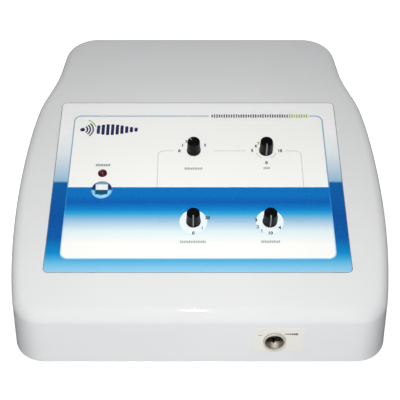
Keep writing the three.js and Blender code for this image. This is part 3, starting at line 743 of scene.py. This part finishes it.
# ---- printed panel ----
# Ink layers stack up from the film in steps of LAYER; places are parts of the panel's size.
LAYER = 0.03
WINDOW_R = 6.5
WINDOW_LEFT = -0.45
WINDOW_RIGHT = 0.453
WINDOW_TOP = 0.087
WINDOW_BOTTOM = 0.929
BAND_TOP = 0.5318
BAND_BOTTOM = 0.85
HALO_R = 12.6
HEADING_GAP = (0.04, 0.405)
HEADING_SPAN = (0.052, 0.398)
EMBLEM_PLACE = (-0.418, 0.176)
GUIDE_SIDES = (-0.141, 0.366)
GUIDE_CLEAR = 19
GUIDE_R = 5


def from_top(fraction):
    """Height up the panel, in mm, of a fraction of its length counted from the top edge."""
    return (0.5 - fraction) * PANEL_L


def across(fraction):
    """Place across the panel, in mm, of a fraction of its width counted from the middle."""
    return fraction * PANEL_W


BORDER_INK = [
    (0.0, (249, 250, 249)), (0.2, (249, 250, 250)), (0.33, (230, 238, 242)), (0.42, (196, 216, 230)),
    (0.495, (150, 192, 218)), (0.505, (0, 98, 172)), (0.7, (0, 82, 162)), (0.82, (0, 92, 170)),
    (0.9, (0, 138, 206)), (0.93, (60, 168, 220)), (0.95, (98, 186, 229)), (1.0, (152, 208, 240)),
]
BAND_INK = [
    (0.5, (0, 117, 189)), (0.575, (0, 115, 196)), (0.62, (0, 96, 182)), (0.66, (0, 132, 208)),
    (0.686, (48, 168, 220)), (0.71, (130, 190, 226)), (0.74, (184, 216, 236)),
    (0.78, (226, 244, 248)), (0.85, (252, 253, 250)),
]
FRAME_INK = [
    (0.0, (128, 164, 192)), (0.525, (128, 164, 192)), (0.54, (24, 118, 194)), (0.66, (30, 140, 210)),
    (0.72, (130, 195, 230)), (0.8, (205, 232, 244)), (0.9, (190, 225, 242)), (1.0, (170, 215, 240)),
]
FILM_INK = [(0.0, (252, 253, 250)), (1.0, (253, 254, 251))]


def window():
    """Outline of the printed window, inside the border."""
    return rounded(across(WINDOW_LEFT), from_top(WINDOW_BOTTOM),
                   across(WINDOW_RIGHT), from_top(WINDOW_TOP), WINDOW_R)


def print_on(name, solid, finish):
    """Makes a printed piece on the panel, with its UV map over the whole panel."""
    return solid.make(name, CABINET, PANEL, finish, "panel_film", uv=(PANEL_W, PANEL_L))


def layer(level):
    """Bottom and top height of an ink layer, counted from the film."""
    return level * LAYER, (level + 1) * LAYER


def make_film():
    hole_clear = 0.05
    loops = [
        panel_outline(),
        circle(*panel_point("lamp"), LAMP_HOLE_R + hole_clear),
        circle(*panel_point("switch_housing"), SWITCH_HOLE_R + hole_clear),
    ]
    film = print_on("panel_film_base", Solid().prism(loops, -OVERLAY_THICK, 0),
                    printed("film_white", FILM_INK))
    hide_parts("panel_overlay")


def make_border():
    border = Solid().prism([panel_outline(), window()], *layer(0))
    print_on("panel_border", border, printed("border_ink", BORDER_INK))


def make_gap_painted_shade():
    """Grey strip of painted shade in the gap round the film, which shows as a thin dark line there."""
    outer, inner, clear, below = EDGE_GAP - 0.05, 0.02, 0.02, 0.1
    # Painted shade: a grey strip standing in the gap between the film's edge and the recess wall.
    grey = moulded("gap_painted_shade_grey", srgb(118, 120, 124), (0.6, 0.7), specular=0.1)
    strip = Solid().prism([panel_outline(outer), panel_outline(inner)], clear - RECESS, -below)
    strip.make("panel_gap_painted_shade", CABINET, PANEL, grey, "panel_film")


def make_band():
    """Blue band across the window, with a notch round the switch that stands on its top edge."""
    inset, notch_r = 0.5, 9.6
    left, right = across(WINDOW_LEFT) + inset, across(WINDOW_RIGHT) - inset
    top, bottom = from_top(BAND_TOP), from_top(BAND_BOTTOM)
    x, y = panel_point("switch_housing")
    reach = math.degrees(math.asin((top - y) / notch_r))
    notch = arc(x, y, notch_r, reach, -180 - reach, 40)
    loop = [(left, bottom), (right, bottom), (right, top)] + notch + [(left, top)]
    print_on("panel_band", Solid().prism([loop], *layer(0)), printed("band_ink", BAND_INK))


def make_halos():
    """Pale discs behind the two lower knobs."""
    solid = Solid()
    for name in ("pulse", "intensity"):
        solid.prism([circle(*control_place(name), HALO_R, 72)], *layer(1))
    print_on("panel_halos", solid, ink("halo_white", (232, 243, 247)))


def make_frame_line():
    """Line round the window, open at the top right for the heading."""
    left, right = across(WINDOW_LEFT), across(WINDOW_RIGHT)
    top, bottom = from_top(WINDOW_TOP), from_top(WINDOW_BOTTOM)
    r = WINDOW_R
    gap_left, gap_right = across(HEADING_GAP[0]), across(HEADING_GAP[1])
    path = [(gap_left, top)] + arc(left + r, top - r, r, 90, 180, 10)
    path += arc(left + r, bottom + r, r, 180, 270, 10)
    path += arc(right - r, bottom + r, r, 270, 360, 10)
    path += arc(right - r, top - r, r, 0, 90, 10) + [(gap_right, top)]
    print_on("panel_frame_line", Solid().prism(stroke(path, 1.05), *layer(1)),
             printed("line_steel", FRAME_INK))


def make_guide_lines():
    """Pale lines from the upper controls down to the blue band, and faint ones below."""
    x0, upper = control_place("mode")
    x1, lower = control_place("intensity")
    left, right = (across(place) for place in GUIDE_SIDES)
    r, down = GUIDE_R, from_top(BAND_TOP)
    out_left, out_right = x0 - GUIDE_CLEAR, x1 + GUIDE_CLEAR
    between = x0 + GUIDE_CLEAR, x1 - GUIDE_CLEAR
    pale = [
        [(out_left, upper)] + arc(left + r, upper - r, r, 90, 180, 6) + [(left, down)],
        [(right, down)] + arc(right - r, upper - r, r, 0, 90, 6) + [(out_right, upper)],
        [(x, upper) for x in between],
    ]
    faint = [
        arc(left + r, lower + r, r, 180, 270, 6) + [(out_left, lower)],
        [(out_right, lower)] + arc(right - r, lower + r, r, 270, 360, 6),
        [(x, lower) for x in between],
    ]
    print_lines("panel_guide_line", pale, 0.6, ink("line_pale", (186, 195, 203)))
    print_lines("panel_guide_line_lower", faint, 0.55, ink("line_faint", (148, 186, 210)))


def print_lines(name, paths, width, finish):
    lines = Solid()
    for path in paths:
        lines.prism(stroke(path, width), LAYER, 1.5 * LAYER)
    print_on(name, lines, finish)


def numeral(text, x, y):
    """Vertices and faces of a number centred on a place, in mm."""
    curve = bpy.data.curves.new("numeral", "FONT")
    curve.body = text
    curve.size = NUMBER_SIZE
    curve.align_x = "CENTER"
    curve.align_y = "CENTER"
    curve.resolution_u = 3
    curve.offset = NUMBER_BOLD
    curve.extrude = LAYER / 2
    holder = bpy.data.objects.new("numeral", curve)
    bpy.context.collection.objects.link(holder)
    bpy.context.view_layer.update()
    graph = bpy.context.evaluated_depsgraph_get()
    mesh = bpy.data.meshes.new_from_object(holder.evaluated_get(graph))
    verts = [(v.co.x + x, v.co.y + y, v.co.z + 2.5 * LAYER) for v in mesh.vertices]
    faces = [tuple(p.vertices) for p in mesh.polygons]
    bpy.data.objects.remove(holder)
    bpy.data.meshes.remove(mesh)
    bpy.data.curves.remove(curve)
    return verts, faces


# Each number: degrees anticlockwise from the right, distance from the control, text and ink.
DIALS = {
    "mode": [(180, 13.8, "0", "navy"), (148, 12.8, "1", "navy"), (122, 13.7, "2", "faint"),
             (32, 12.7, "3", "navy")],
    "timer": [(178, 13.2, "5", "navy"), (148, 11.1, "6", "navy"), (127, 11.3, "7", "green"),
              (0, 13.5, "15", "navy"), (-90, 14.3, "0", "navy")],
    "pulse": [(18, 13.5, "20", "navy"), (-41, 10.6, "1", "faint"), (-90, 12.3, "0", "navy")],
    "intensity": [(172, 12.4, "3", "navy"), (-153, 12.3, "2", "navy"), (-128, 12.5, "1", "faint"),
                  (-90, 12.3, "10", "navy"), (-37, 10.9, "4", "navy")],
}
DIAL_INKS = {"navy": (18, 20, 40), "faint": (112, 120, 132), "green": (110, 156, 40)}
NUMBER_SIZE = 3.3 * 1.35
NUMBER_BOLD = 0.045 * NUMBER_SIZE
TIMER_ARC_R = 9.6


def make_dials():
    numbers = {shade: Solid() for shade in DIAL_INKS}
    for name, marks in DIALS.items():
        cx, cy = control_place(name)
        for angle, r, text, shade in marks:
            a = math.radians(angle)
            place = (cx + r * math.cos(a), cy + r * math.sin(a))
            numbers[shade].add(*numeral(text, *place))
    for shade, colour in DIAL_INKS.items():
        print_on("dial_numbers_" + shade, numbers[shade], ink("ink_" + shade, colour))
    arcs = Solid()
    cx, cy = control_place("timer")
    for start, stop in ((-62, -12), (192, 242)):
        arcs.prism(stroke(arc(cx, cy, TIMER_ARC_R, start, stop, 20), 0.3), *layer(2))
    print_on("dial_arcs", arcs, ink("ink_grey", (120, 126, 134)))


def bar_row(solid, x, y, width):
    """A row of small upright bars centred on a place, in place of a line of lettering."""
    pitch, bar, tall = 1.55, 1.05, 2.7
    count = max(2, round(width / pitch))
    for i in range(count):
        left = x - count * pitch / 2 + i * pitch
        high = tall / 2 * (1.0 if (i * 7 + count) % 5 < 2 else 0.72)
        solid.prism([rounded(left, y - tall / 2, left + bar, y + high, 0.2, 2)], *layer(2))


# Width of each control's row of bars, and its distance below the control.
CAPTIONS = {"mode": (16.7, 21.1), "timer": (6.8, 20.5), "pulse": (23.4, 21.4), "intensity": (17.3, 21.2)}
LAMP_CAPTION = (14.7, 10)
ON_OFF_DROP = 14.5


def make_captions():
    rows = Solid()
    for name, (width, drop) in CAPTIONS.items():
        x, y = control_place(name)
        bar_row(rows, x, y - drop, width)
    print_on("caption_bars", rows, ink("ink_caption", (150, 154, 160)))
    lamp = Solid()
    x, y = panel_point("lamp")
    width, rise = LAMP_CAPTION
    bar_row(lamp, x, y + rise, width)
    print_on("caption_bars_lamp", lamp, ink("ink_caption_lamp", (96, 102, 112)))


def make_on_off_mark():
    """The usual circle and bar under the switch."""
    x, y = panel_point("switch_housing")
    y -= ON_OFF_DROP
    mark = Solid()
    mark.prism(stroke(circle(x - 3.4, y, 1.25, 28), 0.5, True), *layer(2))
    mark.prism([rounded(x + 3.1, y - 1.5, x + 3.7, y + 1.5, 0.2, 3)], *layer(2))
    print_on("on_off_mark", mark, ink("ink_on_off", (0, 66, 140)))


def make_heading():
    """A wave burst of fine bars on the top frame line, ending in a short green stretch."""
    grey = Solid()
    green = Solid()
    top = from_top(WINDOW_TOP)
    first, last = (across(place) for place in HEADING_SPAN)
    bars, half, green_from = 40, 0.72, 32
    for i in range(bars):
        x = first + (last - first) * i / (bars - 1)
        tall = 1.75 + 0.5 * abs(math.sin(i * 0.83))
        target = green if i >= green_from else grey
        target.prism([rounded(x - half, top - tall, x + half, top + tall, 0.3, 3)], *layer(2))
    print_on("heading_bars", grey, ink("ink_heading", (84, 88, 104)))
    print_on("heading_bars_green", green, ink("ink_green", (150, 178, 60)))


def make_emblem():
    """Generic sign: a sounding head with arcs spreading from it and a fading row of bars."""
    navy = Solid()
    x, y = across(EMBLEM_PLACE[0]), from_top(EMBLEM_PLACE[1])
    navy.prism([circle(x, y, 2.3, 32)], *layer(2))
    for i, r in enumerate((4.8, 7.6, 10.4)):
        navy.prism(stroke(arc(x, y, r, -48, 48, 24), 1.7 - 0.15 * i), *layer(2))
    first, pitch, bar = 14.0, 4.6, 3.1
    for i in range(9):
        tall = 5.6 * math.exp(-0.5 * ((i - 2.4) / 3.2) ** 2) + 1.2
        left = x + first + i * pitch
        navy.prism([rounded(left, y - tall, left + bar, y + tall, 0.9, 4)], *layer(2))
    print_on("emblem", navy, ink("ink_navy", (38, 38, 84)))
    leaf = Solid().prism(stroke(arc(x, y, 13.0, 18, 66, 16), 1.1), *layer(2))
    print_on("emblem_arc", leaf, ink("ink_leaf", (140, 180, 60)))


# ---- controls ----
KNOB_Z0 = 0.4
KNOB_Z1 = 14.9
KNOB_BASE_R = 6.7
KNOB_TOP_R = 5.95
FLUTES = 30
FLUTE_DEPTH = 0.16
POINTER_START_R = 2.6
POINTER_HALF = 0.48


def knob_radius(r, z, angle):
    """Shallow grip flutes up the side of the knob, fading at the skirt and the cap."""
    span = (z - KNOB_Z0 - 2.4) / (KNOB_Z1 - KNOB_Z0 - 4.2)
    if not 0 < span < 1 or r < KNOB_TOP_R - 0.3:
        return r
    depth = FLUTE_DEPTH * min(1, span * 8, (1 - span) * 8)
    return r - depth * (0.5 - 0.5 * math.cos(FLUTES * angle))


def knob_profile():
    """Half section of a knob: the bore, the skirt, the fluted side, the cap and its dish."""
    base, top, z0, z1 = KNOB_BASE_R, KNOB_TOP_R, KNOB_Z0, KNOB_Z1
    inside = [(0, z0 + 4.2), (5, z0 + 4.2), (5, z0)]
    wall = [(base - 0.2, z0), (base, z0 + 0.25), (base, z0 + 1.5), (base - 0.15, z0 + 1.9)]
    foot, low, high, steps = base - 0.35, z0 + 2.0, z1 - 1.0, 14
    for i in range(steps + 1):
        t = i / steps
        wall.append((foot + (top - foot) * t, low + (high - low) * t))
    cap = arc(top - 0.9, z1 - 0.9, 0.9, 15, 90, 5)
    dish = [(top - 1.5, z1 - 0.12), (top - 3, z1 - 0.2), (0, z1 - 0.24)]
    return inside + wall + cap + dish


def pointer_bar():
    """The pointer line: up the side of the knob and in over its cap."""
    base, top, z1, start = KNOB_BASE_R, KNOB_TOP_R, KNOB_Z1, POINTER_START_R
    side = [(base - 0.75, 2.4), (base - 0.02, 2.4), (top + 0.08, z1 - 0.95), (top - 0.22, z1 - 0.2),
            (top - 0.9, z1 + 0.06), (start, z1 - 0.1), (start, z1 - 0.8), (top - 1.2, z1 - 0.8)]
    bar = Solid().prism([side], -POINTER_HALF, POINTER_HALF)
    bar.verts = [(x, -z, y) for x, y, z in bar.verts]
    return bar


def make_knobs(black, pale):
    for name in POINTER_ANGLES:
        place = control_frame(name)
        body = name + "_rotor"
        knob = Solid().lathe(knob_profile(), 240, radius=knob_radius)
        piece = knob.make(name + "_knob_moulded", body, place, black, "knob_black", smooth=50)
        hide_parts(name + "_knob")
        pointer = pointer_bar().make(name + "_pointer_line", body, place, pale, "pointer_grey")
        soften(pointer, 0.08, 2)
        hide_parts(name + "_pointer")


def make_lamp(maroon, red):
    centre = panel_point("lamp")
    bore, neck, flange, lens_r, dome_high = 2.7, 3.05, 4.22, 2.4, 2.3
    profile = [(bore, 1.35), (2.95, 1.6), (3.3, 1.7), (3.8, 1.5), (4.1, 1.1), (flange, 0.6),
               (flange, 0.05), (neck, 0.05), (neck, -5), (bore, -5)]
    bezel = Solid().lathe(profile, 72, centre, closed=True)
    piece = bezel.make("lamp_bezel_turned", CABINET, PANEL, maroon, "black_plastic")
    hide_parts("lamp_bezel")
    dome = [(r, 1.0 + z * dome_high / lens_r) for r, z in arc(0, 0, lens_r, 0, 81, 9)]
    lens = Solid().lathe([(0, -4), (lens_r, -4)] + dome + [(0, 1.0 + dome_high)], 64, centre)
    piece = lens.make("lamp_lens_dome", CABINET, PANEL, red, "lamp_red")
    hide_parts("lamp")


SWITCH_R = 9.5
SWITCH_WINDOW = (5.9, 6.2)
ROCKER_HALF = 5.55
ROCKER_REACH = 5.4
ROCKER_PIVOT_Z = -2.2
ROCKER_TILT = math.radians(8)


def make_switch(blue):
    """Round housing with a rounded rim, and the opening that the rocker stands in."""
    x, y = panel_point("switch_housing")
    w, l = SWITCH_WINDOW
    round_wide, round_high = 2.6, 1.5
    dome = [(SWITCH_R, 0.05), (SWITCH_R, 0.5)]
    for c, s in arc(0, 0, 1, 0, 90, 12)[1:]:
        dome.append((SWITCH_R - round_wide * (1 - c), 0.5 + round_high * s))
    body = Solid().lathe([(0, -9), (8.7, -9), (8.7, 0.05)] + dome + [(0, 2.0)], 96, (x, y))
    piece = body.make("switch_housing_moulded", CABINET, PANEL, blue, "switch_blue",
                      uv=(PANEL_W, PANEL_L))
    opening = Solid().prism([rounded(x - w, y - l, x + w, y + l, 0.8, 5)], -8.3, 6)
    cut(piece, [opening.cutter(PANEL)], 30)
    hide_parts("switch_housing")


def tilted(outline, half):
    """Prism across the rocker, turned to its resting tilt about the pivot."""
    x, y = panel_point("switch_housing")
    turn = Matrix.Rotation(ROCKER_TILT, 4, "X")
    solid = Solid().prism([outline], -half, half)
    moved = [turn @ Vector((c, a, b - ROCKER_PIVOT_Z)) for a, b, c in solid.verts]
    solid.verts = [(x + v.x, y + v.y, v.z + ROCKER_PIVOT_Z) for v in moved]
    return solid


def make_rocker(cream, painted_shade_teal):
    """Rocker with a dished top, and painted shade on the lower half of its face, where it sinks into the housing.
    """
    steps = (4.5, 3.6, 2.4, 1.2, 0, -1.2, -2.4, -3.6, -4.5)
    top = [(t, 0.62 + 1.13 * (abs(t) / 4.9) ** 1.4) for t in steps]
    near = [(0.5 - ROCKER_REACH, 1.75), (-ROCKER_REACH, 1.4)]
    far = [(-t, z) for t, z in near[::-1]]
    profile = arc(0, ROCKER_PIVOT_Z, ROCKER_REACH, 180, 360, 24) + far + top + near
    # Painted shade: a teal sheet laid over the lower half of the rocker's face.
    lower = [point for point in top if point[0] <= 0] + near
    shaded_half = [(t - 0.05, z + 0.09) for t, z in lower] + [(t + 0.2, z - 0.2) for t, z in lower[::-1]]
    rocker = tilted(profile, ROCKER_HALF).make(
        "rocker_paddle", "power_rocker", PANEL, cream, "rocker_cream", smooth=25)
    soften(rocker, 0.3, 3)
    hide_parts("switch_rocker")
    face = tilted(shaded_half, ROCKER_HALF + 0.04).make(
        "rocker_lower_painted_shade", "power_rocker", PANEL, painted_shade_teal, "switch_blue", smooth=25)
    soften(face, 0.05, 2)


# ---- output socket ----
PIN_CIRCLE_R = 4.2
LABEL_BOX = (-17.5, -13, 25.5, 16)
LABEL_TOP = 0.35
MARKS_TOP = 0.39


def make_socket(chrome):
    """Turned barrel with a thread in its bore, and a painted highlight on its flange: a paler copy of the nickel
    over the flange's face.
    """
    bore, barrel, flange, thread = 8.3, 8.9, 9.9, 0.18
    shell = [(bore, -12), (barrel, -12), (barrel, 0.42), (flange, 0.42), (flange, 1.3), (9.8, 1.65),
             (9.55, 1.95), (9.25, 2.1), (8.7, 2.1), (8.45, 2.0), (bore, 1.75)]
    for i in range(7):
        z = 0.9 - i
        shell += [(bore, z), (bore + thread, z - 0.25), (bore + thread, z - 0.5), (bore, z - 0.75)]
    piece = Solid().lathe(shell, 96, closed=True).make(
        "socket_shell_turned", CABINET, FRONT, chrome, "socket_chrome", smooth=25)
    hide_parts("socket_shell")
    face = [(8.42, 1.2), (9.93, 1.2), (9.9, 1.68), (9.6, 2.0), (9.27, 2.14), (8.7, 2.14), (8.42, 2.03)]
    # Painted highlight: the same nickel, paler and creamier, laid over the flange's face.
    cream = metal("nickel_painted_highlight", (0.88, 0.85, 0.76, 1), (0.3, 0.4), (1, 1, 1), 0.5)
    Solid().lathe(face, 96, closed=True).make(
        "socket_face_painted_highlight", CABINET, FRONT, cream, "socket_chrome", smooth=25)


def make_contacts(black, brass):
    """Insulating insert with its key, and the four contact pins."""
    insert = Solid().prism([circle(0, 0, 8.0, 72)], -13, -8)
    insert.prism([arc(0, -7.4, 1.0, 0, 180, 12)], -8.2, -4.2)
    piece = insert.make("socket_insert_moulded", CABINET, FRONT, black, "black_plastic")
    soften(piece, 0.2)
    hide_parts("socket_insert")
    pin = [(0, -15), (0.9, -15), (0.9, -4.7), (0.78, -4.35), (0.5, -4.1), (0, -4.0)]
    for i, place in enumerate(arc(0, 0, PIN_CIRCLE_R, 45, 315, 3)):
        made = Solid().lathe(pin, 24, place).make(
            f"socket_pin_{i + 1}_turned", CABINET, FRONT, brass, "contact_brass")
        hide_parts(f"socket_pin_{i + 1}")


def make_label(film):
    """Thin label round the socket, with a growing row of bars in place of its lettering."""
    loops = [rounded(*LABEL_BOX, 1.5), circle(0, 0, SOCKET_HOLE_R, 64)]
    sheet = Solid().prism(loops, 0.02, LABEL_TOP)
    piece = sheet.make("socket_label_film", CABINET, FRONT, film, "label_film")
    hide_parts("socket_label")
    marks = Solid()
    first, pitch, bar, y = 8.6, 1.9, 1.5, 8.9
    for i in range(6):
        left = first + i * pitch
        tall = 0.5 + 0.15 * i
        marks.prism([rounded(left, y - tall, left + bar, y + tall, 0.3, 3)], LABEL_TOP, MARKS_TOP)
    marks.make("socket_label_marks", CABINET, FRONT, ink("label_ink", (70, 72, 76)), "label_film")
    faint = Solid().prism([rounded(-14.4, 6.9, -10.8, 8.1, 0.4, 4)], LABEL_TOP, MARKS_TOP)
    faint.make("socket_label_mark_faint", CABINET, FRONT, ink("label_ink_faint", (168, 170, 168)),
               "label_film")


# ---- carried-over nodes ----
# Width of the rounding, in mm, by the start of the node's name.
SOFT_EDGES = {"inlet_housing": 0.35, "fuse_drawer": 0.3, "base_plate": 0.3, "foot_": 0.5,
              "inlet_pin_": 0.4}


def dress_nodes(finishes):
    """Gives every CAD node that still shows its material, and softens its moulded edges."""
    slots = {part["node"]: part["material_slot"] for part in frame["record"]["subparts"]}
    for node, piece in frame["nodes"].items():
        finish = finishes.get(slots[node])
        if finish:
            piece.data.materials.clear()
            piece.data.materials.append(finish)
        for start, width in SOFT_EDGES.items():
            if node.startswith(start):
                soften(piece, width, 3)


def make_finishes():
    """One finish for each material slot of the record."""
    return {
        "cabinet_white": cabinet_white(),
        "base_grey": moulded("base_grey", srgb(196, 198, 200), (0.45, 0.6), 2200, 0.00004),
        "rubber_feet": moulded("foot_rubber", (0.02, 0.02, 0.022, 1), (0.7, 0.85), 1800, 0.00004),
        "plated_steel": metal("zinc_steel", (0.62, 0.63, 0.65, 1)),
        "knob_black": moulded("knob_black", (0.003, 0.003, 0.0035, 1), (0.3, 0.42), 2400, 0.00001,
                              specular=0.1),
        "pointer_grey": moulded("pointer_grey", srgb(150, 152, 156), (0.4, 0.5)),
        "control_grey": moulded("control_grey", (0.2, 0.21, 0.22, 1)),
        "black_plastic": moulded("black_moulded", (0.014, 0.014, 0.016, 1), (0.32, 0.5)),
        "lamp_red": lens_red(),
        # The switch housing's finish carries a painted reflection below the rocker and a painted highlight above
        # it.
        "switch_blue": switch_blue(),
        "rocker_cream": moulded("rocker_cream", srgb(240, 243, 238), (0.2, 0.3), coat=0.3, vary=0.02),
        "socket_chrome": metal("nickel_dull", (0.62, 0.56, 0.48, 1), (0.5, 0.6), (1, 1, 1)),
        "contact_brass": metal("brass_contact", (0.7, 0.5, 0.2, 1)),
        "label_film": moulded("label_film", srgb(230, 229, 222), (0.45, 0.55), vary=0.015,
                              specular=0.2),
        "fuse_glass": moulded("fuse_glass", (0.5, 0.55, 0.55, 1), (0.05, 0.1)),
        "board_green": moulded("board_resist", (0.02, 0.15, 0.06, 1), (0.25, 0.4)),
        "heat_sink_aluminium": metal("heat_sink_aluminium", (0.5, 0.51, 0.52, 1), (0.35, 0.5)),
        "capacitor_blue": moulded("capacitor_sleeve", (0.02, 0.04, 0.11, 1)),
        "winding_copper": metal("winding_copper", (0.45, 0.16, 0.07, 1), (0.3, 0.45)),
        "core_steel": metal("core_laminations", (0.16, 0.16, 0.17, 1), (0.4, 0.6), (1, 14, 1)),
    }


# ---- the unit ----
bpy.context.scene.view_settings.view_transform = "Standard"
make_camera()
make_world()
make_lights()
make_floor()
finishes = make_finishes()
dress_nodes(finishes)
make_cabinet(finishes["cabinet_white"])
make_film()
make_gap_painted_shade()
make_border()
make_band()
make_halos()
make_frame_line()
make_guide_lines()
make_dials()
make_captions()
make_on_off_mark()
make_heading()
make_emblem()
make_knobs(finishes["knob_black"], finishes["pointer_grey"])
make_lamp(moulded("lamp_maroon", srgb(74, 8, 24), (0.25, 0.35), specular=0.15), finishes["lamp_red"])
make_switch(finishes["switch_blue"])
# The teal on the rocker is painted shade on its sunk lower half.
make_rocker(finishes["rocker_cream"], moulded("rocker_painted_shade_teal", srgb(8, 84, 120), (0.2, 0.3), coat=0.4))
make_socket(finishes["socket_chrome"])
make_contacts(finishes["black_plastic"], finishes["contact_brass"])
make_label(finishes["label_film"])
